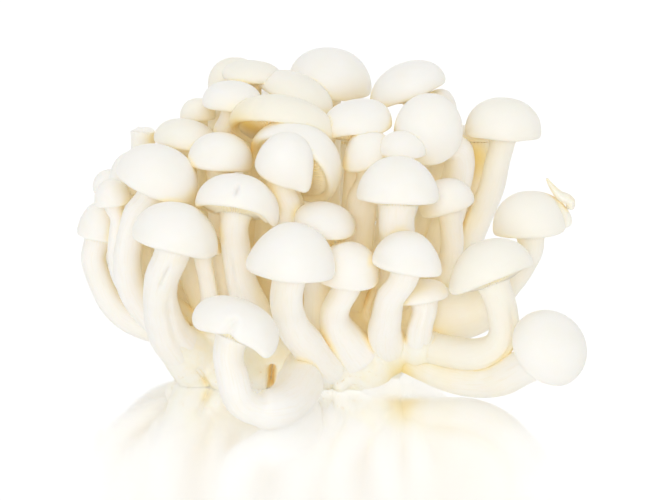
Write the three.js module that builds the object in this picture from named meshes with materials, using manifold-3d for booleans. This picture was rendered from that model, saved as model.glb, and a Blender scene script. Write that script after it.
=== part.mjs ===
// A bunch of white shimeji mushrooms, as picked: one lumpy base with a flat cut underside, and the
// mushrooms that fan out of it. Millimetres, +Z up. The origin is on the cut underside, which rests
// on z = 0; +X runs along the bunch's longest side and -Y is its front.
import * as THREE from 'three';
import { mergeVertices } from 'three/addons/utils/BufferGeometryUtils.js';
import Module from 'manifold-3d';

const wasm = await Module();
wasm.setup();

// Driving dimensions.
const GAP = 0.3; // left between neighbours that would touch
const BASE = { centre: [2, 2.5], halfLength: 30, halfWidth: 19, height: 17, lobes: 5, lobeDepth: 0.04 };
const BASE_SQUARENESS = 2.8; // the power of the base's plan: 2 is an ellipse, and more has fuller corners
const BASE_SIDES = 24;
// The base's side from the cut underside to its top: [reach, rise] as shares of its half size and height.
const BASE_PROFILE = [[0, 0], [0.95, 0], [1, 0.18], [0.97, 0.42], [0.84, 0.7], [0.55, 0.92], [0, 1]];
const STEM_STEP = 8; // between two rings along a stem
const BROAD_CAP = 7; // caps at least this radius get the finer ring
const SIDES_BROAD = 10;
const SIDES_SMALL = 8;
const TAPER = [0.12, 0.77]; // where a stem begins and ends to slim, as shares of its length
// The cap's underside, from the stem out to the rolled-in margin: [reach, rise] from the centre of
// the cap's widest ring, in cap radii.
const JOINT_DROP = 0.15; // the stem meets the gills this far below the widest ring
const GILLS_EDGE = [0.8, -0.05];
const MARGIN = [0.92, -0.13];
const DOME_CLIMBS = [0, 27, 54, 76]; // degrees up the dome of its rings
const DOME_POWER = 0.93; // below 1 makes the dome a little squarer than an ellipse

const CAP_COLOUR = '#fcf9f2';
const STEM_COLOUR = '#f8f6e9';
const BASE_COLOUR = '#f7efdc';

// One row for each mushroom: its name, the centre of the cap's widest ring, the cap's lean as
// [degrees from upright, degrees of heading from +X], the cap's [radius, dome height], the stem's
// radius at its [foot, neck], and the places the stem passes through on its way from foot to cap.
const MUSHROOMS = [
  // The front row, left to right.
  ['front_left_broad', [-25.5, -29, 40.5], [14, 7], [10.5, 9], [5.8, 4.1], [
    [-22, -8, 4.5], [-24, -12.5, 8.5], [-28, -17, 14.5], [-29.5, -22, 22], [-29.5, -25.5, 27.5],
    [-28, -28, 35]
  ]],
  ['front_centre_broad', [2, -38, 36], [6, 350], [10.5, 10.5], [4.4, 3.9], [
    [12.5, -11.5, 4.8], [11, -17.5, 6.5], [8, -23, 10], [5.5, -27.5, 15], [3, -31, 19],
    [1.5, -33.5, 23.5], [1, -36.5, 27.5], [1, -37.5, 31.5]
  ]],
  ['front_looped', [-10.5, -50, 24], [23, 16], [10.5, 7], [5.2, 3.7], [
    [5.5, -7, 8], [5, -12, 5.5], [4.5, -21.5, 5.5], [3.5, -32.5, 5], [1, -42.5, 4.5], [-2, -48.5, 4.5],
    [-6, -50.5, 5], [-9.5, -51.5, 7.5], [-11, -52, 12], [-11.5, -51.5, 16.5], [-11, -51, 21]
  ]],
  ['front_centre_round', [15.5, -26, 31], [9, 300], [7.5, 8.5], [5.5, 3.5], [
    [20.8, -12.5, 5], [19.5, -15, 7], [17, -17, 10.5], [14.5, -20, 14.5], [12.5, -23, 19],
    [12.5, -25.5, 23], [13, -26.5, 26.5]
  ]],
  ['front_right_tall', [29.5, -31, 35], [10, 11], [8.5, 8], [4.7, 3.4], [
    [27, -11, 8.5], [25.5, -16, 12], [24.5, -21, 16.5], [25, -25, 21.5], [25.5, -28, 25.5], [27, -30, 30]
  ]],
  ['right_leaning', [49.5, -29, 32], [23, 155], [10.5, 8.5], [4.1, 3.7], [
    [30, -11, 11], [35, -16, 11], [41.5, -21.5, 11], [47.5, -26, 12], [51.5, -28, 14.5], [53, -28.5, 18],
    [52.5, -29, 23], [51, -29, 28]
  ]],
  ['right_lying', [62.5, -38, 16], [50, 310], [9.5, 8.5], [4.2, 4.4], [
    [25, -6, 7.5], [30, -10.5, 7.5], [35, -15, 6.2], [40, -19, 5], [46, -22.5, 4.5], [52, -27, 6],
    [57, -31.5, 10]
  ]],
  ['right_torn', [60, -14, 40.5], [5, 150], [9, 9], [6.6, 3.2], [
    [30, -2, 13.5], [36.5, -6, 16.5], [43, -9, 17.5], [48, -10.5, 19], [51.5, -11.5, 22], [55, -12.5, 26],
    [58, -13.5, 30.5], [60, -14, 36]
  ]],
  ['front_right_small', [33.8, -21, 25], [10, 169], [6.2, 4], [3.2, 3.1], [
    [33, -16, 10], [33, -18.5, 13], [33, -20.5, 16.5], [33, -21, 19.5], [33.5, -21, 22.5]
  ]],
  ['left_broad', [-30.8, -15, 51.8], [23, 352], [10.3, 9.2], [3.8, 3.3], [
    [-29, -6, 12.5], [-35.5, -8, 20], [-38, -10, 26], [-38.5, -11, 32], [-37.5, -12, 38],
    [-36, -13, 43.5], [-33.5, -14, 48]
  ]],
  ['left_low', [-46.5, 0, 36], [12, 359], [5.5, 8.5], [3.5, 3.1], [
    [-25.5, 4, 9], [-35, 3, 11.5], [-40.5, 2, 14.5], [-44, 1, 18.5], [-46, 0.5, 23], [-47.5, 0, 27.5],
    [-48, 0, 32]
  ]],
  ['left_small', [-42, -8, 46], [7, 215], [4.5, 5.5], [2.8, 2.2], [
    [-27.5, -2, 13], [-35.5, -4, 19], [-39, -5, 23.5], [-41, -6, 28], [-41.5, -7, 33.5], [-41, -7.5, 38],
    [-40.5, -8, 43]
  ]],
  // The middle of the front.
  ['left_centre_cracked', [-11, -24, 47.5], [20, 66], [10, 8], [4.6, 3.5], [
    [-5.5, -9, 11], [-7.5, -13, 19], [-10, -16, 26.5], [-11, -19, 33], [-11.5, -21.5, 39],
    [-11.5, -23, 45]
  ]],
  ['centre_pale', [10, -21, 43], [17, 309], [7.5, 4.5], [3.8, 3.2], [
    [9, -7, 11], [8.5, -11, 20.5], [8.5, -17, 32]
  ]],
  ['right_centre_broad', [27.5, -22, 50], [6, 72], [10, 9.5], [4.6, 4.3], [
    [26.5, -6, 17.5], [28, -15, 32], [27.5, -20, 40.5], [27, -21.5, 46]
  ]],
  ['upper_egg', [0, -19, 56], [29, 305], [7, 9.5], [3.8, 3.4], [
    [1.5, -6, 18], [0.5, -12, 33.5], [0.5, -15, 40.5], [1, -16.5, 46.5], [0.5, -17.5, 50]
  ]],
  ['left_centre_upper', [-15.5, -11, 56], [6, 18], [8, 7.5], [3.6, 3.1], [
    [-12, -4, 12], [-14.5, -6, 24.5], [-15.5, -8.5, 40.5]
  ]],
  ['front_left_small', [-19.5, -18, 35.5], [4, 90], [4.5, 5.5], [2.8, 2.1], [
    [-16.5, -8, 12], [-18, -13, 21], [-18.5, -16, 26.5], [-19, -17.5, 31]
  ]],
  ['right_centre_small', [40, -8, 45], [17, 186], [7, 6.5], [3.2, 2.9], [
    [34, 0, 15.5], [40.5, -3, 28], [41.5, -6, 36], [40.5, -7.5, 41.5]
  ]],
  ['upper_right_small', [28.9, -9, 58.5], [3, 314], [5.8, 5], [3.2, 2.8], [
    [20, 1, 13], [25.5, -3, 25], [28.5, -6.5, 43]
  ]],
  ['upper_right_low', [20.6, -6, 56.5], [18, 187], [6.6, 7], [4.4, 3.8], [
    [14, -2, 14], [17, -3.5, 26], [18.5, -5, 40]
  ]],
  ['upper_hooded', [2.5, -9, 55], [52, 52], [12, 10], [3.6, 3.2], [
    [7, -1, 15], [4, -5.5, 25.5], [2, -9, 42]
  ]],
  // The crown.
  ['upper_right_round', [35.5, -2, 62], [38, 275], [8.5, 10.5], [4, 3.8], [
    [23, 5, 13], [36, 6, 26], [41, 5.5, 39], [42.7, 5, 47], [43.6, 4, 54], [42, 2, 58.5]
  ]],
  ['upper_right_flat', [18, 0, 62.7], [11, 190], [8.9, 7.2], [3.4, 3], [
    [12, 3, 15], [15.5, 1, 27.5], [17.5, 0, 47]
  ]],
  ['upper_broad', [-0.5, -1, 62.3], [28, 68], [13.5, 8], [4, 3.5], [
    [-3, 4, 15], [-4, 6.5, 30], [-3, 4, 48]
  ]],
  ['left_upper', [-24.6, 0, 59.5], [10, 359], [7.8, 5.5], [3.6, 3.2], [
    [-17, 2, 12], [-22.5, 1.5, 23.5], [-25, 1, 41.5]
  ]],
  ['right_tall', [54.5, 6, 61], [4, 34], [9.5, 8.5], [3.7, 3.2], [
    [31.5, 9, 12], [45, 8.5, 28], [47.5, 8, 35], [50, 7, 41.5], [52, 6.5, 47], [53, 6, 52.5],
    [53.5, 6, 57.5]
  ]],
  ['upper_left_front', [-13, 4, 68.5], [4, 332], [7.5, 5.5], [3, 2.6], [
    [-10, 4, 14], [-14, 4, 31], [-15.5, 4, 52], [-15, 4, 63]
  ]],
  ['top_leaning', [3, 12.5, 68.5], [27, 2], [9.5, 6], [3.4, 3], [[3, 9, 15], [1.5, 12, 32.5], [1, 13, 53]]],
  ['top_right', [31.5, 14, 70.3], [20, 188], [9.5, 7], [3.4, 3], [
    [20, 8, 12], [35, 13, 34], [40, 17, 56], [39.8, 17, 67]
  ]],
  ['top_large', [11, 27, 70.5], [14, 289], [10.5, 8.5], [4, 3.4], [
    [9, 13, 13], [10, 20, 30.5], [10.5, 25.5, 53]
  ]],
  ['top_left', [-8.5, 15, 74], [4, 325], [7.5, 3.5], [3, 2.6], [
    [-4, 11, 14], [-7, 13.5, 31.5], [-8.5, 14.5, 56]
  ]],
  ['upper_left_small', [-22, 12, 64], [2, 270], [4.5, 4.5], [2.8, 2.3], [
    [-15, 8, 12], [-18.5, 11, 26.5], [-21, 12, 47.5]
  ]],
  ['top_left_rear', [-13, 22, 70.5], [2, 270], [7, 7], [3.2, 2.9], [
    [-8, 14, 13], [-13, 18.5, 32], [-18, 20, 53], [-17.5, 21, 63]
  ]],
  ['left_hidden', [-38.5, 2, 47.5], [2, 333], [5.5, 9], [3.2, 2.6], [
    [-20, 4, 10], [-31.5, 2.5, 20], [-37, 2, 35]
  ]],
  ['left_rear_small', [-44, 8, 46.5], [10, 193], [4.5, 4.5], [2.6, 2.1], [
    [-21, 7, 8], [-36, 7.5, 17.5], [-43, 8, 34]
  ]],
  // The rear, left to right as seen from the front.
  ['rear_left_leaning', [-45, 19, 26], [35, 165], [6.5, 6.5], [3.2, 2.6], [
    [-20, 10, 6], [-33, 14.5, 10], [-41, 17.5, 17.5]
  ]],
  ['rear_left_side', [-36, 24, 40], [18, 150], [7, 7], [3.4, 2.8], [
    [-18, 12, 8], [-29.5, 17.5, 16.5], [-35, 22, 28.5]
  ]],
  ['rear_left_low', [-29, 40, 27], [24, 125], [8, 7.5], [3.6, 3], [
    [-14, 16, 7], [-22, 29.5, 10], [-27, 37.5, 17]
  ]],
  ['rear_left_broad', [-25, 32, 51], [14, 125], [8.5, 8], [3.7, 3], [
    [-13, 14, 11], [-22, 23, 22], [-25.5, 29.5, 37]
  ]],
  ['rear_centre_broad', [-9, 47, 38], [15, 100], [9, 8.5], [4, 3.2], [
    [-5, 19, 9], [-7.5, 34.5, 15], [-8.5, 44, 26]
  ]],
  ['rear_centre_upper', [-5, 37, 59], [12, 95], [9.5, 8.5], [3.9, 3.2], [
    [-3, 16, 12], [-4.5, 26.5, 26.5], [-5, 34, 44.5]
  ]],
  ['rear_centre_low', [12, 50, 31], [18, 85], [9.5, 9], [4.2, 3.4], [
    [5, 20, 8], [9, 36.5, 11.5], [11.5, 46.5, 20.5]
  ]],
  ['rear_right_upper', [15, 42, 53], [16, 80], [9, 8.5], [3.9, 3.2], [
    [6, 17, 12], [10.5, 30.5, 23], [13.5, 39, 39]
  ]],
  ['rear_right_high', [29, 29, 49], [12, 60], [8, 7.5], [3.5, 2.8], [
    [13, 14, 13], [21.5, 21, 23.5], [27, 26.5, 36.5]
  ]],
  ['rear_right_low', [30, 43, 31], [20, 55], [9, 8], [3.8, 3], [
    [15, 17, 8], [23.5, 31.5, 12], [28.5, 40, 20.5]
  ]],
  ['rear_right_broad', [38.5, 25, 44], [18, 40], [8, 7.5], [3.7, 3], [
    [19, 14, 8], [30.5, 19.5, 18.5], [36.5, 23, 32]
  ]],
  ['right_rear_tall', [47.8, 17, 58], [4, 20], [5.4, 3], [3.8, 3.8], [
    [23, 13, 9], [38.5, 14.5, 24], [47, 16, 40], [49, 16.5, 49], [49, 17, 54]
  ]],
  ['right_rear_low', [46, 17, 20.5], [24, 10], [7, 6.5], [3.2, 2.6], [
    [25, 9, 5], [34.5, 13, 7.5], [41.5, 15.5, 13.5]
  ]],
  ['rear_centre_lying', [-4, 53, 14], [58, 98], [8, 7.5], [3.4, 3], [
    [-1, 21, 4.5], [-2, 33, 4.5], [-3.5, 44, 8]
  ]],
  ['rear_right_small', [23, 47, 15], [32, 70], [5.5, 5.5], [2.9, 2.4], [
    [11, 20, 4], [16.5, 32, 4], [20.5, 41.5, 8.5]
  ]],
  ['rear_left_small', [-18, 50, 16], [30, 110], [6.5, 6], [3.2, 2.6], [
    [-8, 20, 4], [-12, 33.5, 4.5], [-15.5, 44, 9]
  ]],
];

// The stem on the left whose cap has broken off, from its foot to the break.
const BROKEN_STEM = {
  radii: [3.4, 3.1],
  route: [[-18, 9, 9], [-30, 11, 20.5], [-35.5, 12, 39.5], [-36, 12, 60.2]],
};

// Small buds that never grew, on the base's front and left edge: [x, y, z] and radius.
const BUDS = [
  [[-27, -3, 4], 3.4],
  [[-22, -11, 3.8], 3.8],
  [[-16, -14.5, 3.2], 3.2],
  [[-21, -7.5, 7.5], 7],
  [[-6, -15, 3], 2.8],
  [[13.5, -15.8, 2.5], 2.1],
  [[9.8, -15.5, 2.9], 1.6],
];

const radians = THREE.MathUtils.degToRad;

function solidOf(geometry) {
  const bare = geometry.clone();
  bare.deleteAttribute('normal');
  bare.deleteAttribute('uv');
  const merged = mergeVertices(bare, 1e-4);
  const corners = merged.index.array;
  const kept = [];
  for (let i = 0; i < corners.length; i += 3) {
    const [a, b, c] = corners.subarray(i, i + 3);
    if (a !== b && b !== c && c !== a) kept.push(a, b, c);
  }
  const vertProperties = merged.attributes.position.array;
  return new wasm.Manifold(new wasm.Mesh({ numProp: 3, vertProperties, triVerts: new Uint32Array(kept) }));
}

function geometryOf(solid) {
  const mesh = solid.getMesh();
  const geometry = new THREE.BufferGeometry();
  geometry.setAttribute('position', new THREE.BufferAttribute(new Float32Array(mesh.vertProperties), 3));
  geometry.setIndex(new THREE.BufferAttribute(new Uint32Array(mesh.triVerts), 1));
  geometry.computeVertexNormals();
  return geometry;
}

// The frames along a route: a point, and two directions across it that don't twist.
function framesAlong(curve, steps) {
  const tangentAt = (i) => curve.getTangentAt(i / steps);
  const across = new THREE.Vector3(0, 1, 0).cross(tangentAt(0));
  if (across.length() < 0.1) across.set(1, 0, 0);
  const frames = [];
  for (let i = 0; i <= steps; i += 1) {
    const tangent = tangentAt(i);
    across.addScaledVector(tangent, -across.dot(tangent)).normalize();
    frames.push({
      point: curve.getPointAt(i / steps),
      across: across.clone(),
      beside: across.clone().cross(tangent),
    });
  }
  return frames;
}

function leanAxis([tilt, heading]) {
  return new THREE.Vector3().setFromSphericalCoords(1, radians(tilt), 0)
    .applyAxisAngle(new THREE.Vector3(1, 0, 0), Math.PI / 2)
    .applyAxisAngle(new THREE.Vector3(0, 0, 1), radians(heading + 90));
}

// A lathe with one profile point for each ring, whose rings are then carried to their frames: the
// stem's rings follow the route, and the cap's rings stay square to the cap's own axis.
function bentLathe(rings, sides) {
  const profile = rings.map(({ radius }, i) => new THREE.Vector2(radius, i));
  const lathe = new THREE.LatheGeometry(profile, sides);
  const position = lathe.attributes.position;
  for (let i = 0; i < position.count; i += 1) {
    const { frame, rise } = rings[Math.round(position.getY(i))];
    const place = frame.point.clone()
      .addScaledVector(frame.across, position.getX(i))
      .addScaledVector(frame.beside, position.getZ(i));
    if (frame.axis) place.addScaledVector(frame.axis, rise);
    position.setXYZ(i, place.x, place.y, place.z);
  }
  return solidOf(lathe);
}

function stemRings(route, [foot, neck], grow) {
  const places = route.map((place) => new THREE.Vector3(...place));
  const curve = new THREE.CatmullRomCurve3(places, false, 'centripetal');
  const steps = Math.round(curve.getLength() / STEM_STEP);
  const frames = framesAlong(curve, steps);
  const rings = frames.map((frame, i) => {
    const slim = THREE.MathUtils.smoothstep(i / steps, ...TAPER);
    return { radius: foot + (neck - foot) * slim + grow, frame };
  });
  return [{ radius: 0, frame: frames[0] }, ...rings];
}

function mushroom([, cap, lean, [radius, height], stem, route], grow = 0) {
  const centre = new THREE.Vector3(...cap);
  const rings = stemRings([...route, cap], stem, grow).slice(0, -1);

  const axis = leanAxis(lean);
  const across = rings.at(-1).frame.across.clone();
  across.addScaledVector(axis, -across.dot(axis)).normalize();
  const frame = { point: centre, across, beside: across.clone().cross(axis), axis };
  const wide = radius + grow;
  const tall = height + grow;
  rings.push({ radius: stem[1] + grow, rise: -JOINT_DROP * radius, frame });
  for (const [reach, rise] of [GILLS_EDGE, MARGIN]) {
    rings.push({ radius: reach * wide, rise: rise * radius - grow, frame });
  }
  for (const climb of DOME_CLIMBS) {
    const up = radians(climb);
    const ring = { radius: wide * Math.cos(up) ** DOME_POWER, rise: tall * Math.sin(up) ** DOME_POWER };
    rings.push({ ...ring, frame });
  }
  rings.push({ radius: 0, rise: tall, frame });
  return bentLathe(rings, radius >= BROAD_CAP ? SIDES_BROAD : SIDES_SMALL);
}

function brokenStem(grow = 0) {
  const rings = stemRings(BROKEN_STEM.route, BROKEN_STEM.radii, grow);
  rings.push({ radius: 0, frame: rings.at(-1).frame });
  return bentLathe(rings, SIDES_SMALL);
}

function base(grow = 0) {
  const profile = BASE_PROFILE.map(([reach, rise]) => new THREE.Vector2(reach, rise * (BASE.height + grow)));
  const lathe = new THREE.LatheGeometry(profile, BASE_SIDES);
  const position = lathe.attributes.position;
  for (let i = 0; i < position.count; i += 1) {
    const [x, z, y] = [position.getX(i), position.getY(i), position.getZ(i)];
    const angle = Math.atan2(y, x);
    const lobe = 1 + BASE.lobeDepth * Math.sin(BASE.lobes * angle);
    const [along, across] = [Math.abs(Math.cos(angle)), Math.abs(Math.sin(angle))];
    const squareness = (along ** BASE_SQUARENESS + across ** BASE_SQUARENESS) ** (1 / BASE_SQUARENESS);
    const spread = lobe / squareness;
    position.setXYZ(
      i,
      BASE.centre[0] - x * spread * (BASE.halfLength + grow),
      BASE.centre[1] + y * spread * (BASE.halfWidth + grow),
      z === 0 ? -grow : z,
    );
  }
  let solid = solidOf(lathe);
  for (const [place, radius] of BUDS) {
    const bud = new THREE.SphereGeometry(radius + grow, SIDES_SMALL, 5);
    bud.translate(...place);
    solid = solid.add(solidOf(bud));
  }
  return solid;
}

function largestBody(solid) {
  return solid.decompose().reduce((best, body) => (body.volume() > best.volume() ? body : best));
}

function nodeOf(name, solid, colour) {
  const material = new THREE.MeshStandardMaterial({ color: colour, roughness: 0.55, metalness: 0 });
  const mesh = new THREE.Mesh(geometryOf(solid), material);
  mesh.name = name;
  return mesh;
}

// Each piece is cut clear of the ones placed before it, so that every neighbour keeps its gap.
function buildBunch() {
  const bunch = new THREE.Group();
  bunch.add(nodeOf('base', base(), BASE_COLOUR));
  const placed = [base(GAP)];
  const pieces = MUSHROOMS.map((row) => [row[0], (grow) => mushroom(row, grow), CAP_COLOUR]);
  pieces.push(['broken_stem', brokenStem, STEM_COLOUR]);
  for (const [name, make, colour] of pieces) {
    const solid = placed.reduce((left, other) => left.subtract(other), make(0));
    bunch.add(nodeOf(name, largestBody(solid), colour));
    placed.push(make(GAP));
  }
  return bunch;
}

export default buildBunch();
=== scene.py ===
"""The looks of a bunch of white shimeji mushrooms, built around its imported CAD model.

Every length is in millimetres until mesh_object() turns it into metres. +Z is up and -Y is the front.
Headings are degrees around +Z: 0 is +X, 90 the back and -90 the front.
"""
import math

import bpy
import numpy as np
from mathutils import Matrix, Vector
from mathutils.bvhtree import BVHTree


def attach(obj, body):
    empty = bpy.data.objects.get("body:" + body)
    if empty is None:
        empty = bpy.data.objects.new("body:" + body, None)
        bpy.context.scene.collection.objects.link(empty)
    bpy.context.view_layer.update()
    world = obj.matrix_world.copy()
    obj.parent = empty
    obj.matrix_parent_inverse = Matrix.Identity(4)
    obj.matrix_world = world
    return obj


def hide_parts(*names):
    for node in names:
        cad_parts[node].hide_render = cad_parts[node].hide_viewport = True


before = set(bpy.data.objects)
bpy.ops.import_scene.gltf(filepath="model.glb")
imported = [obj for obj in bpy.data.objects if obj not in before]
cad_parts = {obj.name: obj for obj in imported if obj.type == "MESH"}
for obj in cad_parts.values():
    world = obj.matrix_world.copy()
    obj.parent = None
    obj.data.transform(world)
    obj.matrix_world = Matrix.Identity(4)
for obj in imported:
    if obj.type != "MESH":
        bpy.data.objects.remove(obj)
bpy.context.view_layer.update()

MM = 0.001

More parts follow.
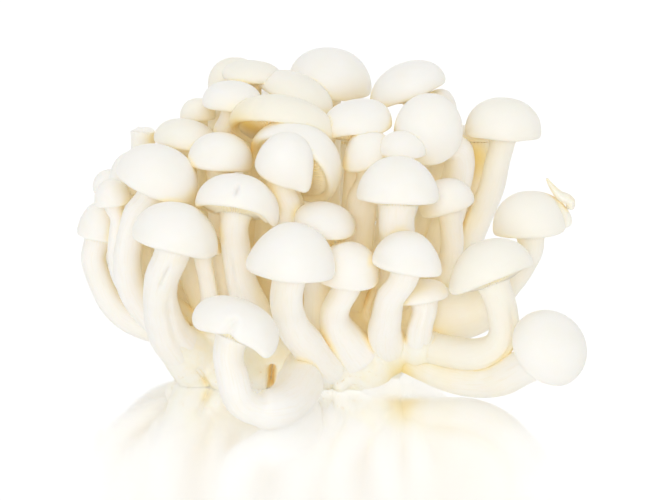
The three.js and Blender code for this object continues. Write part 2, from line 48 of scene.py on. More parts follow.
# One row for each mushroom: its name, the centre of the cap's widest ring, the cap's lean as
# (degrees from upright, heading), the cap's (radius, dome height), the stem's radius at its
# (foot, neck), and the places that the stem passes through from its foot on its way to the cap.
MUSHROOMS = [
    # The front row, left to right.
    ("front_left_broad", (-25.5, -29, 40.5), (14, 7), (10.5, 9), (5.8, 4.1),
     [(-22, -8, 4.5), (-24, -12.5, 8.5), (-28, -17, 14.5), (-29.5, -22, 22), (-29.5, -25.5, 27.5),
      (-28, -28, 35)]),
    ("front_centre_broad", (2, -38, 36), (6, 350), (10.5, 10.5), (4.4, 3.9),
     [(12.5, -11.5, 4.8), (11, -17.5, 6.5), (8, -23, 10), (5.5, -27.5, 15), (3, -31, 19), (1.5, -33.5, 23.5),
      (1, -36.5, 27.5), (1, -37.5, 31.5)]),
    ("front_looped", (-10.5, -50, 24), (23, 16), (10.5, 7), (5.2, 3.7),
     [(5.5, -7, 8), (5, -12, 5.5), (4.5, -21.5, 5.5), (3.5, -32.5, 5), (1, -42.5, 4.5), (-2, -48.5, 4.5),
      (-6, -50.5, 5), (-9.5, -51.5, 7.5), (-11, -52, 12), (-11.5, -51.5, 16.5), (-11, -51, 21)]),
    ("front_centre_round", (15.5, -26, 31), (9, 300), (7.5, 8.5), (5.5, 3.5),
     [(20.8, -12.5, 5), (19.5, -15, 7), (17, -17, 10.5), (14.5, -20, 14.5), (12.5, -23, 19),
      (12.5, -25.5, 23), (13, -26.5, 26.5)]),
    ("front_right_tall", (29.5, -31, 35), (10, 11), (8.5, 8), (4.7, 3.4),
     [(27, -11, 8.5), (25.5, -16, 12), (24.5, -21, 16.5), (25, -25, 21.5), (25.5, -28, 25.5), (27, -30, 30)]),
    ("right_leaning", (49.5, -29, 32), (23, 155), (10.5, 8.5), (4.1, 3.7),
     [(30, -11, 11), (35, -16, 11), (41.5, -21.5, 11), (47.5, -26, 12), (51.5, -28, 14.5), (53, -28.5, 18),
      (52.5, -29, 23), (51, -29, 28)]),
    ("right_lying", (62.5, -38, 16), (50, 310), (9.5, 8.5), (4.2, 4.4),
     [(25, -6, 7.5), (30, -10.5, 7.5), (35, -15, 6.2), (40, -19, 5), (46, -22.5, 4.5), (52, -27, 6),
      (57, -31.5, 10)]),
    ("right_torn", (60, -14, 40.5), (5, 150), (9, 9), (6.6, 3.2),
     [(30, -2, 13.5), (36.5, -6, 16.5), (43, -9, 17.5), (48, -10.5, 19), (51.5, -11.5, 22), (55, -12.5, 26),
      (58, -13.5, 30.5), (60, -14, 36)]),
    ("front_right_small", (33.8, -21, 25), (10, 169), (6.2, 4), (3.2, 3.1),
     [(33, -16, 10), (33, -18.5, 13), (33, -20.5, 16.5), (33, -21, 19.5), (33.5, -21, 22.5)]),
    ("left_broad", (-30.8, -15, 51.8), (23, 352), (10.3, 9.2), (3.8, 3.3),
     [(-29, -6, 12.5), (-35.5, -8, 20), (-38, -10, 26), (-38.5, -11, 32), (-37.5, -12, 38), (-36, -13, 43.5),
      (-33.5, -14, 48)]),
    ("left_low", (-46.5, 0, 36), (12, 359), (5.5, 8.5), (3.5, 3.1),
     [(-25.5, 4, 9), (-35, 3, 11.5), (-40.5, 2, 14.5), (-44, 1, 18.5), (-46, 0.5, 23), (-47.5, 0, 27.5),
      (-48, 0, 32)]),
    ("left_small", (-42, -8, 46), (7, 215), (4.5, 5.5), (2.8, 2.2),
     [(-27.5, -2, 13), (-35.5, -4, 19), (-39, -5, 23.5), (-41, -6, 28), (-41.5, -7, 33.5), (-41, -7.5, 38),
      (-40.5, -8, 43)]),
    # The middle of the front.
    ("left_centre_cracked", (-11, -24, 47.5), (20, 66), (10, 8), (4.6, 3.5),
     [(-5.5, -9, 11), (-7.5, -13, 19), (-10, -16, 26.5), (-11, -19, 33), (-11.5, -21.5, 39),
      (-11.5, -23, 45)]),
    ("centre_pale", (10, -21, 43), (17, 309), (7.5, 4.5), (3.8, 3.2),
     [(9, -7, 11), (8.5, -11, 20.5), (8.5, -17, 32)]),
    ("right_centre_broad", (27.5, -22, 50), (6, 72), (10, 9.5), (4.6, 4.3),
     [(26.5, -6, 17.5), (28, -15, 32), (27.5, -20, 40.5), (27, -21.5, 46)]),
    ("upper_egg", (0, -19, 56), (29, 305), (7, 9.5), (3.8, 3.4),
     [(1.5, -6, 18), (0.5, -12, 33.5), (0.5, -15, 40.5), (1, -16.5, 46.5), (0.5, -17.5, 50)]),
    ("left_centre_upper", (-15.5, -11, 56), (6, 18), (8, 7.5), (3.6, 3.1),
     [(-12, -4, 12), (-14.5, -6, 24.5), (-15.5, -8.5, 40.5)]),
    ("front_left_small", (-19.5, -18, 35.5), (4, 90), (4.5, 5.5), (2.8, 2.1),
     [(-16.5, -8, 12), (-18, -13, 21), (-18.5, -16, 26.5), (-19, -17.5, 31)]),
    ("right_centre_small", (40, -8, 45), (17, 186), (7, 6.5), (3.2, 2.9),
     [(34, 0, 15.5), (40.5, -3, 28), (41.5, -6, 36), (40.5, -7.5, 41.5)]),
    ("upper_right_small", (28.9, -9, 58.5), (3, 314), (5.8, 5), (3.2, 2.8),
     [(20, 1, 13), (25.5, -3, 25), (28.5, -6.5, 43)]),
    ("upper_right_low", (20.6, -6, 56.5), (18, 187), (6.6, 7), (4.4, 3.8),
     [(14, -2, 14), (17, -3.5, 26), (18.5, -5, 40)]),
    ("upper_hooded", (2.5, -9, 55), (52, 52), (12, 10), (3.6, 3.2),
     [(7, -1, 15), (4, -5.5, 25.5), (2, -9, 42)]),
    # The crown.
    ("upper_right_round", (35.5, -2, 62), (38, 275), (8.5, 10.5), (4, 3.8),
     [(23, 5, 13), (36, 6, 26), (41, 5.5, 39), (42.7, 5, 47), (43.6, 4, 54), (42, 2, 58.5)]),
    ("upper_right_flat", (18, 0, 62.7), (11, 190), (8.9, 7.2), (3.4, 3),
     [(12, 3, 15), (15.5, 1, 27.5), (17.5, 0, 47)]),
    ("upper_broad", (-0.5, -1, 62.3), (28, 68), (13.5, 8), (4, 3.5),
     [(-3, 4, 15), (-4, 6.5, 30), (-3, 4, 48)]),
    ("left_upper", (-24.6, 0, 59.5), (10, 359), (7.8, 5.5), (3.6, 3.2),
     [(-17, 2, 12), (-22.5, 1.5, 23.5), (-25, 1, 41.5)]),
    ("right_tall", (54.5, 6, 61), (4, 34), (9.5, 8.5), (3.7, 3.2),
     [(31.5, 9, 12), (45, 8.5, 28), (47.5, 8, 35), (50, 7, 41.5), (52, 6.5, 47), (53, 6, 52.5),
      (53.5, 6, 57.5)]),
    ("upper_left_front", (-13, 4, 68.5), (4, 332), (7.5, 5.5), (3, 2.6),
     [(-10, 4, 14), (-14, 4, 31), (-15.5, 4, 52), (-15, 4, 63)]),
    ("top_leaning", (3, 12.5, 68.5), (27, 2), (9.5, 6), (3.4, 3),
     [(3, 9, 15), (1.5, 12, 32.5), (1, 13, 53)]),
    ("top_right", (31.5, 14, 70.3), (20, 188), (9.5, 7), (3.4, 3),
     [(20, 8, 12), (35, 13, 34), (40, 17, 56), (39.8, 17, 67)]),
    ("top_large", (11, 27, 70.5), (14, 289), (10.5, 8.5), (4, 3.4),
     [(9, 13, 13), (10, 20, 30.5), (10.5, 25.5, 53)]),
    ("top_left", (-8.5, 15, 74), (4, 325), (7.5, 3.5), (3, 2.6),
     [(-4, 11, 14), (-7, 13.5, 31.5), (-8.5, 14.5, 56)]),
    ("upper_left_small", (-22, 12, 64), (2, 270), (4.5, 4.5), (2.8, 2.3),
     [(-15, 8, 12), (-18.5, 11, 26.5), (-21, 12, 47.5)]),
    ("top_left_rear", (-13, 22, 70.5), (2, 270), (7, 7), (3.2, 2.9),
     [(-8, 14, 13), (-13, 18.5, 32), (-18, 20, 53), (-17.5, 21, 63)]),
    ("left_hidden", (-38.5, 2, 47.5), (2, 333), (5.5, 9), (3.2, 2.6),
     [(-20, 4, 10), (-31.5, 2.5, 20), (-37, 2, 35)]),
    ("left_rear_small", (-44, 8, 46.5), (10, 193), (4.5, 4.5), (2.6, 2.1),
     [(-21, 7, 8), (-36, 7.5, 17.5), (-43, 8, 34)]),
    # The rear, left to right as seen from the front.
    ("rear_left_leaning", (-45, 19, 26), (35, 165), (6.5, 6.5), (3.2, 2.6),
     [(-20, 10, 6), (-33, 14.5, 10), (-41, 17.5, 17.5)]),
    ("rear_left_side", (-36, 24, 40), (18, 150), (7, 7), (3.4, 2.8),
     [(-18, 12, 8), (-29.5, 17.5, 16.5), (-35, 22, 28.5)]),
    ("rear_left_low", (-29, 40, 27), (24, 125), (8, 7.5), (3.6, 3),
     [(-14, 16, 7), (-22, 29.5, 10), (-27, 37.5, 17)]),
    ("rear_left_broad", (-25, 32, 51), (14, 125), (8.5, 8), (3.7, 3),
     [(-13, 14, 11), (-22, 23, 22), (-25.5, 29.5, 37)]),
    ("rear_centre_broad", (-9, 47, 38), (15, 100), (9, 8.5), (4, 3.2),
     [(-5, 19, 9), (-7.5, 34.5, 15), (-8.5, 44, 26)]),
    ("rear_centre_upper", (-5, 37, 59), (12, 95), (9.5, 8.5), (3.9, 3.2),
     [(-3, 16, 12), (-4.5, 26.5, 26.5), (-5, 34, 44.5)]),
    ("rear_centre_low", (12, 50, 31), (18, 85), (9.5, 9), (4.2, 3.4),
     [(5, 20, 8), (9, 36.5, 11.5), (11.5, 46.5, 20.5)]),
    ("rear_right_upper", (15, 42, 53), (16, 80), (9, 8.5), (3.9, 3.2),
     [(6, 17, 12), (10.5, 30.5, 23), (13.5, 39, 39)]),
    ("rear_right_high", (29, 29, 49), (12, 60), (8, 7.5), (3.5, 2.8),
     [(13, 14, 13), (21.5, 21, 23.5), (27, 26.5, 36.5)]),
    ("rear_right_low", (30, 43, 31), (20, 55), (9, 8), (3.8, 3),
     [(15, 17, 8), (23.5, 31.5, 12), (28.5, 40, 20.5)]),
    ("rear_right_broad", (38.5, 25, 44), (18, 40), (8, 7.5), (3.7, 3),
     [(19, 14, 8), (30.5, 19.5, 18.5), (36.5, 23, 32)]),
    ("right_rear_tall", (47.8, 17, 58), (4, 20), (5.4, 3), (3.8, 3.8),
     [(23, 13, 9), (38.5, 14.5, 24), (47, 16, 40), (49, 16.5, 49), (49, 17, 54)]),
    ("right_rear_low", (46, 17, 20.5), (24, 10), (7, 6.5), (3.2, 2.6),
     [(25, 9, 5), (34.5, 13, 7.5), (41.5, 15.5, 13.5)]),
    ("rear_centre_lying", (-4, 53, 14), (58, 98), (8, 7.5), (3.4, 3),
     [(-1, 21, 4.5), (-2, 33, 4.5), (-3.5, 44, 8)]),
    ("rear_right_small", (23, 47, 15), (32, 70), (5.5, 5.5), (2.9, 2.4),
     [(11, 20, 4), (16.5, 32, 4), (20.5, 41.5, 8.5)]),
    ("rear_left_small", (-18, 50, 16), (30, 110), (6.5, 6), (3.2, 2.6),
     [(-8, 20, 4), (-12, 33.5, 4.5), (-15.5, 44, 9)]),
]
# The stem that has lost its cap: its radius at the (foot, neck), and its route.
BROKEN_RADII = (3.4, 3.1)
BROKEN_ROUTE = [(-18, 9, 9), (-30, 11, 20.5), (-35.5, 12, 39.5), (-36, 12, 60.2)]
BROKEN_SIDES = 48
# The hollow at the break, from the rim inwards: the share of the way to the middle, how much of the
# rim's raggedness it keeps, and how far it sinks.
BREAK = [(0.08, 1.3, -0.15), (0.22, 1.3, 0.25), (0.45, -0.8, 0.5), (0.75, -0.8, 0.35)]
RAGGEDNESS = 0.35

# The base: its centre, half length and half width, height, and its shallow lobes.
BASE_CENTRE = (2, 2.5)
BASE_HALF = (30, 19)
BASE_HEIGHT = 17
BASE_SQUARENESS = 2.8  # the power of the plan's outline: 2 is an ellipse, and more has fuller corners
BASE_LOBES = 5
BASE_LOBE_DEPTH = 0.04
BASE_SIDES = 96
# The rings of the base, from the floor up: reach and rise as shares of its half width and height.
BASE_PROFILE = [(0.95, 0), (1, 0.18), (0.97, 0.42), (0.84, 0.7), (0.55, 0.92)]
BUDS = [
    ((-27, -3, 4), 3.4), ((-22, -11, 3.8), 3.8), ((-16, -14.5, 3.2), 3.2), ((-21, -7.5, 7.5), 7),
    ((-6, -15, 3), 2.8), ((13.7, -16.4, 2.6), 2.7), ((9.8, -16.2, 3), 2.4),
]
# Clefts in the base's front: the ends of a line as (x, z), half the cleft's width and its depth.
CLEFTS = [
    ((-20.8, 5), (-17.9, -1), 0.6, 1.5),
    ((-3.1, 5.5), (-3.4, 0.9), 0.8, 8),
    ((11.6, 5), (12, -1), 0.35, 1.5),
]
CLEFTS_BEFORE = -6  # clefts are cut only where y is less than this
# Where the base's front edge stands clear of the floor: the middle's x, the half width and the lift.
LIFTS = [(30, 8, 2.6), (-30, 3, 0.8)]
FLAT_BELOW = 0.4  # what is lower than this is pressed flat onto the floor

FOOT_COVER = 0.8  # how thick the base's flesh is over a stem's foot
FOOT_SINK = 3.0  # how far that flesh thins on its way up, until it is inside the stem
FOOT_REACH = 13.0  # how far up a stem it goes at most, or a share of a short stem
FOOT_REACH_SHARE = 0.4
# Stems that have grown together at the foot: how far along them the base's flesh reaches.
FUSED_FEET = {
    "front_left_broad": 30, "front_centre_broad": 22, "front_centre_round": 18, "front_right_tall": 18,
    "front_right_small": 15, "right_leaning": 30, "right_torn": 22, "left_centre_cracked": 22,
}
FOOT_STEP = 1.2
FOOT_SIDES = 24
BALL_SIDES = 20
MELT_GRAIN = 0.55  # the grid on which the base's parts melt together
MELT_PASSES = 14  # of smoothing afterwards

# Stems.
STEM_STEP = 1.0  # between two rings along a stem
CURVE_STEPS = 40  # between two places of a route, before it is spaced evenly
STEM_TURN = 2.5  # the stretch in which a stem turns to its cap's axis, in neck radii
FILLET = 0.12  # how much wider a stem gets as it meets the gills, in radii, and within what distance
FILLET_LENGTH = 1.1
GROOVE_END = 0.04  # the share of a stem's length in which a groove runs out

# Caps. Shares are of the cap's radius.
GILLS_PER_MM = 5.2  # gills round a cap, for each millimetre of its radius
GILLS_LEAST = 22
GILL_DEPTH = 0.9
GILL_DEPTH_FULL = 9  # the cap radius from which gills have this depth
GILL_STEP = 0.75  # between two rings of the underside
GILL_START = 1.14  # where the gills start, in neck radii
GILL_EDGE = 0.8  # the share where they end and the margin's roll begins
JOINT_DROP = 0.17  # how far the stem meets the gills below the cap's widest ring, as a share
EDGE_DROP = 0.05  # how far the gills' edge lies below it
# The margin's roll, from the gills' edge to the widest ring: (reach, rise) as shares.
MARGIN = [(0.83, -0.093), (0.872, -0.125), (0.918, -0.135), (0.96, -0.114), (0.988, -0.066)]
DOME_RINGS = 20
DOME_POWER = 0.93  # under 1, the dome is fuller than an ellipse

PRESS = 0.6  # how far a mushroom presses into the soft neighbour that it gives way to
SOFT_FROM = 0.4  # the share of a stem above which it gives way
CREVICE = 3.0  # surfaces closer than this get painted golden shade, the colour of light soaked through the flesh
RAY_START = 0.08  # how far off the skin a look across a crevice starts
SKY_START = 0.6  # how far off the skin a look at the sky starts
SKY_LOOKS = 56
SKY_GRAZING = 0.05  # looks flatter than this along the skin don't count
SHADE_SPOKES = 12
SHADE_RINGS = 3  # every third ring of a skin is sampled
FIRST_SEED = 100  # of the mushrooms' unevenness

rng_of = np.random.default_rng


def unit(v):
    return v / np.linalg.norm(v)


def unit_rows(v):
    return v / np.linalg.norm(v, axis=1)[:, None]


def smooth(x):
    x = np.clip(x, 0, 1)
    return x * x * (3 - 2 * x)


def around(sides):
    """The angles of a ring's points."""
    return np.arange(sides) * 2 * math.pi / sides


def circle(angle, across, beside):
    """The points at these angles on a circle that is spanned by two directions."""
    return np.cos(angle)[:, None] * across + np.sin(angle)[:, None] * beside


def lean_axis(lean):
    tilt, heading = (math.radians(angle) for angle in lean)
    return np.array([math.sin(tilt) * math.cos(heading), math.sin(tilt) * math.sin(heading), math.cos(tilt)])


def along_curve(corners, step):
    """Points evenly spaced along a smooth line through these corners, how far along each one is, and the
    line's direction there."""
    corners = np.array(corners, float)
    ends = [2 * corners[0] - corners[1], *corners, 2 * corners[-1] - corners[-2]]
    gaps = [np.linalg.norm(after - before) ** 0.5 for before, after in zip(ends, ends[1:])]
    t = np.linspace(0, 1, CURVE_STEPS)[:, None]
    dense = []
    for i in range(len(corners) - 1):
        before, here, there, after = ends[i:i + 4]
        first, middle, last = gaps[i:i + 3]
        leave = (here - before) / first - (there - before) / (first + middle) + (there - here) / middle
        arrive = (there - here) / middle - (after - here) / (middle + last) + (after - there) / last
        leave = leave * middle
        arrive = arrive * middle
        bend = 3 * (there - here) - 2 * leave - arrive
        sway = 2 * (here - there) + leave + arrive
        dense.append(here + leave * t + bend * t**2 + sway * t**3)
    dense = np.concatenate(dense)
    run = np.concatenate([[0], np.cumsum(np.linalg.norm(np.diff(dense, axis=0), axis=1))])
    spaced = np.linspace(0, run[-1], max(4, round(run[-1] / step)) + 1)
    points = np.stack([np.interp(spaced, run, dense[:, i]) for i in range(3)], 1)
    return points, spaced, unit_rows(np.gradient(points, axis=0))


def stem_radius_at(radii, share):
    """A stem's radius at a share of its length: thick at the foot, and slim from three quarters up."""
    foot, neck = radii
    return neck + (foot - neck) * (1 - smooth((share - 0.12) / 0.65))


def stitch(triangles, low, high):
    """Triangles between two rings of vertex numbers, one of which has a whole number of times the other's."""
    flip = len(low) > len(high)
    few, many = (high, low) if flip else (low, high)
    ratio = len(many) / len(few)
    for j in range(len(many)):
        a = round(j / ratio) % len(few)
        b = round((j + 1) / ratio) % len(few)
        after = (j + 1) % len(many)
        pair = [(few[a], many[after], many[j])]
        if a != b:
            pair.append((few[a], few[b], many[after]))
        triangles.extend(triangle[::-1] if flip else triangle for triangle in pair)


def vertex_normals(points, triangles):
    a, b, c = (points[triangles[:, i]] for i in range(3))
    face = np.cross(b - a, c - a)
    total = np.zeros_like(points)
    for i in range(3):
        for axis in range(3):
            total[:, axis] += np.bincount(triangles[:, i], face[:, axis], len(points))
    return total / np.maximum(np.linalg.norm(total, axis=1), 1e-9)[:, None]


def merged(surfaces):
    """Several surfaces, each given as its points and its triangles, as one."""
    starts = np.cumsum([0, *[len(points) for points, _ in surfaces]]).tolist()
    points = np.concatenate([points for points, _ in surfaces])
    triangles = [triangles + start for (_, triangles), start in zip(surfaces, starts)]
    return points, np.concatenate(triangles)


def tree_of(points, triangles):
    return BVHTree.FromPolygons([tuple(p) for p in points], [tuple(t) for t in triangles])


class Skin:
    """A closed surface made of rings, from a point at the foot to a point at the top."""

    def __init__(self, name):
        self.name = name
        self.rings = []  # arrays of points
        self.zones = []  # (cap, gill) for each ring
        self.runs = []  # millimetres along the skin for each ring

    def add(self, points, cap=0.0, gill=0.0, run=0.0):
        self.rings.append(points)
        self.zones.append((cap, gill))
        self.runs.append(run)

    def close(self, foot, top):
        counts = [len(ring) for ring in self.rings]
        self.points = np.concatenate([[foot], *self.rings, [top]])
        self.angle = np.concatenate([[0], *[around(count) for count in counts], [0]])
        ring_numbers = [np.full(count, i) for i, count in enumerate(counts)]
        self.ring_of = np.concatenate([[0], *ring_numbers, [len(counts) - 1]]).astype(int)
        self.starts = np.concatenate([[0], np.cumsum(counts)[:-1]]) + 1
        numbers = [list(range(start, start + count)) for start, count in zip(self.starts, counts)]
        numbers = [[0], *numbers, [len(self.points) - 1]]
        triangles = []
        for low, high in zip(numbers, numbers[1:]):
            stitch(triangles, low, high)
        self.triangles = np.array(triangles, np.int32)
        zones = np.array(self.zones)
        self.cap = zones[self.ring_of, 0]
        self.gill = zones[self.ring_of, 1]
        self.run = np.array(self.runs)[self.ring_of]

    def normals(self):
        return vertex_normals(self.points, self.triangles)

    def join(self, other):
        """Takes in another closed surface, which is shaded like the top of this one."""
        self.triangles = np.concatenate([self.triangles, other.triangles + len(self.points)])
        self.points = np.concatenate([self.points, other.points])
        self.rounding = np.concatenate([self.rounding, other.normals()])
        top = np.full(len(other.points), len(self.rings) - 1)
        self.ring_of = np.concatenate([self.ring_of, top])
        for key in ("angle", "cap", "gill", "run"):
            setattr(self, key, np.concatenate([getattr(self, key), getattr(other, key)]))


def waves(rng, orders, size):
    """A closed wavy line round a ring: a function of the angle."""
    parts = [(k, size * rng.uniform(0.5, 1) / k**0.5, rng.uniform(0, 2 * math.pi)) for k in orders]
    return lambda angle: sum(amount * np.sin(k * angle + phase) for k, amount, phase in parts)


def bump_at(angle, heading, width):
    """1 at the heading, fading to 0 a width either side, both in degrees."""
    away = np.degrees(np.angle(np.exp(1j * (angle - math.radians(heading)))))
    return np.exp(-((away / width) ** 2))


def groove(heading, width, depth, start, end):
    """A slit along a stem, between two shares of its length. A negative depth thickens the stem."""
    def change(angle, share):
        inside = smooth((share - start) / GROOVE_END) * smooth((end - share) / GROOVE_END)
        return depth * inside * bump_at(angle, heading, width)
    return change


def droop(heading, width, drop, out=0.0):
    """The margin hangs lower by drop at that heading, and stands out further."""
    def change(angle, reach, rise, climb, radius):
        weight = bump_at(angle, heading, width) * (1 - climb) ** 2
        return reach + out * weight, rise - drop * weight
    return change


def slant(heading, width, amount):
    """One side of the dome is flatter: it is drawn in there by a share of the cap's radius."""
    def change(angle, reach, rise, climb, radius):
        return reach - amount * radius * bump_at(angle, heading, width) * math.sin(math.pi * climb), rise
    return change


def crease(heading, width, depth, top=0.8, bottom=-0.2):
    """A groove over the dome, from one climb to another: 0 is the margin and 1 the top."""
    def change(angle, reach, rise, climb, radius):
        weight = bump_at(angle, heading, width) * smooth((top - climb) / 0.2)
        weight *= smooth((climb - bottom) / 0.15)
        return reach - depth * weight * math.cos(climb * math.pi / 2), rise - depth * weight * climb
    return change


ALL_ROUND = 9999  # a width so large that a groove goes round the whole stem
CAP_FEATURES = {
    "front_looped": [
        droop(-30, 22, 1.6, 0.5), droop(-95, 12, -0.8), droop(-145, 22, 0.9, 0.4), crease(-97, 5, 1.6, 0.36),
    ],
    "left_centre_cracked": [droop(-12, 22, 2.2, 0.6), crease(-90, 1.9, 1.2, 0.42, 0.06)],
    "upper_egg": [droop(-38, 20, 0.9, 1.3)],
    "right_leaning": [slant(180, 65, 0.16), droop(-90, 70, -0.45)],
    "front_centre_broad": [slant(180, 60, 0.13), slant(0, 60, 0.03)],
    "front_right_tall": [slant(0, 65, 0.14), slant(180, 40, 0.03)],
    "right_centre_broad": [slant(0, 55, 0.07), slant(180, 55, 0.05)],
    "front_left_broad": [slant(0, 60, 0.07)],
    "upper_right_round": [droop(-90, 50, 1.3, 0.5)],
    "upper_right_low": [droop(-110, 60, 0.9), slant(180, 70, 0.2)],
    "top_leaning": [droop(180, 35, 0.5, 1.1)],
    "top_right": [droop(-75, 55, -0.8), droop(180, 32, 0.5, 1.3)],
    "upper_right_flat": [droop(-110, 45, -1.3), slant(0, 60, -0.06)],
    "top_large": [droop(-5, 25, 0.8, 0.7)],
    "right_torn": [crease(-12, 6, 3.2, 0.5), droop(12, 18, -0.9, 1.7)],
    "upper_broad": [crease(-120, 5, 0.4, 0.4)],
}
STEM_FEATURES = {
    "front_left_broad": [groove(-85, 7, 1.1, 0.8, 0.95), groove(-50, 9, 0.5, 0.2, 0.75)],
    "front_right_small": [groove(-70, 9, 0.4, 0.3, 0.95), groove(-115, 9, 0.35, 0.35, 0.95)],
    "left_centre_cracked": [groove(-110, 9, 0.4, 0.3, 0.8)],
    "right_leaning": [groove(-60, 9, 0.4, 0.55, 0.9)],
    "front_looped": [groove(0, ALL_ROUND, -1.0, 0.3, 0.72)],
    "right_torn": [groove(0, ALL_ROUND, -0.8, 0.15, 0.6)],
}
# Caps painted creamier than the rest, from 0 to 1: partly their own older tone and partly painted shade.
CREAMY = {
    "upper_broad": 1.0, "top_left": 0.7, "top_left_rear": 0.8, "left_upper": 0.6, "upper_left_small": 0.6,
    "right_leaning": 0.6, "right_torn": 0.5, "right_tall": 0.4, "top_leaning": 0.6,
}
# Spots of painted golden shade, where the flesh lies in shade: (x, y, z), radius and strength.
PAINTED_SHADE_SPOTS = [
    ((30, -13.5, 5), 5, 0.8), ((35, -15, 6.5), 4.5, 0.65), ((41, -19.5, 6.5), 5, 0.45),
    ((47, -23, 6), 5, 0.25), ((53, -28, 7), 6, 0.15), ((-6.5, -16.5, 7), 4, 0.25),
    ((6.4, -10, 56.5), 4.5, 0.9), ((-5.8, -22, 44.5), 3.2, 0.5), ((-18.5, -14, 2), 2.2, 0.5),
    ((-3.5, -10, 3), 3, 0.3), ((12.5, -15, 1.5), 2, 0.25), ((48.3, 14.5, 53), 5, 0.8),
    ((22.5, 14, 67), 3, 0.7), ((26, 7.5, 65), 2, 0.5), ((31.5, 6, 67), 2, 0.6),
    ((37, 8, 69.2), 2, 0.6), ((-33, 10.5, 58.5), 2.2, 0.6), ((-9.5, -6, 62.5), 5, 1.0),
    ((70.3, -13, 48), 2.2, 0.3), ((66.5, -13, 50.8), 2, 0.3), ((64.2, -13, 52.8), 1.6, 0.3),
]
# The shred of skin that curls up off the torn cap: its line and its half thickness along it.
SHRED = [
    (69.6, -13.5, 45.2), (69.8, -13.5, 46.6), (68.8, -13.5, 47.6), (67.4, -13.5, 48.2), (66, -13.5, 49.6),
    (64.9, -13.5, 51), (63.9, -13.5, 52.6),
]
SHRED_THICKNESS = [0.9, 1.25, 1.35, 1.15, 0.85, 0.6, 0.25]
SHRED_WIDTH = 1.9  # in thicknesses
SHRED_STEP = 0.35


def stem_skin(skin, corners, radii, rng, sides, axis=None, joint_drop=0.0):
    """Adds a stem's rings, foot to neck. Near the cap the rings turn square to the cap's own axis."""
    points, runs, tangents = along_curve(corners, STEM_STEP)
    left = runs[-1] - runs
    if axis is not None:
        turn = smooth(1 - (left - joint_drop) / (STEM_TURN * radii[1]))[:, None]
        points = points * (1 - turn) + (points[-1] - left[:, None] * axis) * turn
        tangents = unit_rows(tangents * (1 - turn) + axis * turn)
        keep = left > joint_drop + 0.5 * STEM_STEP
        points, runs, tangents, left = points[keep], runs[keep], tangents[keep], left[keep]
    across = np.array([1.0, 0, 0])
    frames = []
    for tangent in tangents[::-1]:
        across = unit(across - tangent * np.dot(across, tangent))
        frames.append(across)
    frames.reverse()
    angle = around(sides)
    oval = waves(rng, (2, 3), 0.018)
    ripple = waves(rng, (1, 2, 3), 0.014)
    twist = rng.uniform(-0.6, 0.6)
    whole = runs[-1]
    for i, (point, run) in enumerate(zip(points, runs)):
        fillet = FILLET * math.exp(-(left[i] - joint_drop) / FILLET_LENGTH) if axis is not None else 0
        turned = angle + twist * run / whole
        uneven = 1 + fillet + oval(turned) + ripple(np.full(sides, run / 9.0))
        reach = stem_radius_at(radii, run / whole) * uneven
        for slit in STEM_FEATURES.get(skin.name, []):
            reach = reach - slit(angle, run / whole)
        beside = np.cross(tangents[i], frames[i])
        skin.add(point + reach[:, None] * circle(angle, frames[i], beside), run=run)
    skin.stem_rings = len(skin.rings)
    return points[0], runs[-1]


class Cap:
    """Where one mushroom's cap sits, and how uneven it is."""

    def __init__(self, row, rng):
        name, centre, lean, (self.radius, self.height), _, _ = row
        self.centre = np.array(centre, float)
        self.axis = lean_axis(lean)
        self.across = unit(np.array([1.0, 0, 0]) - self.axis * self.axis[0])
        self.beside = np.cross(self.axis, self.across)
        self.outline = waves(rng, (2, 3, 4), 0.012)
        self.hem = waves(rng, (2, 3, 5), 0.016)
        self.swell = waves(rng, (2, 3), 0.012)
        self.features = CAP_FEATURES.get(name, [])

    def place(self, angle, out, up):
        """The points at these angles, so far out from the cap's axis and so far up along it."""
        return self.centre + self.axis * up[:, None] + out[:, None] * circle(angle, self.across, self.beside)

    def ring(self, reach, rise, sides, climb):
        """An uneven ring. Its climb goes from 0 at the margin to 1 at the top."""
        angle = around(sides)
        low = 1 - climb
        out = reach * (1 + self.outline(angle) * low)
        up = rise + self.radius * self.hem(angle) * low**2 + self.height * self.swell(angle) * climb * low
        for feature in self.features:
            out, up = feature(angle, out, up, climb, self.radius)
        return self.place(angle, out, up)


def add_gills(skin, cap, inner, gills, run):
    """The underside, from the stem to the gills' edge, which is as uneven as the margin."""
    edge = GILL_EDGE * cap.radius
    drop = JOINT_DROP * cap.radius
    many = 4 * gills
    plate = np.cos(np.arange(many) * 2 * math.pi / 4)
    steps = max(5, round((edge - inner) / GILL_STEP))
    for i in range(steps + 1):
        part = i / steps
        ends = smooth(part / 0.18) * smooth((1 - part) / 0.12)
        depth = GILL_DEPTH * min(1, cap.radius / GILL_DEPTH_FULL) * ends
        reach = inner + (edge - inner) * part
        slope = (drop - EDGE_DROP * cap.radius) * part**1.3
        rise = -drop + slope + 0.02 * cap.radius * math.sin(math.pi * part)
        up = rise - 0.5 * depth * (plate + 0.5)
        even = cap.place(around(many), np.full(many, reach), up)
        uneven = cap.ring(reach, up, many, 0.0)
        fade = smooth((part - 0.45) / 0.55)
        skin.add(even * (1 - fade) + uneven * fade, gill=smooth(part / 0.1), run=run + reach)


def add_dome(skin, cap, sides, run):
    """The margin's roll and the dome."""
    for reach, rise in MARGIN:
        ring = cap.ring(reach * cap.radius, rise * cap.radius, sides, 0.0)
        on_cap = smooth((reach - GILL_EDGE) / 0.1)
        skin.add(ring, cap=on_cap, gill=1 - on_cap, run=run + reach * cap.radius)
    for i in range(DOME_RINGS):
        climb = i / DOME_RINGS
        turn = math.pi / 2 * climb
        reach = cap.radius * math.cos(turn) ** DOME_POWER
        rise = cap.height * math.sin(turn) ** DOME_POWER
        skin.add(cap.ring(reach, rise, sides, climb), cap=1.0, run=run + cap.radius * (1 + climb))


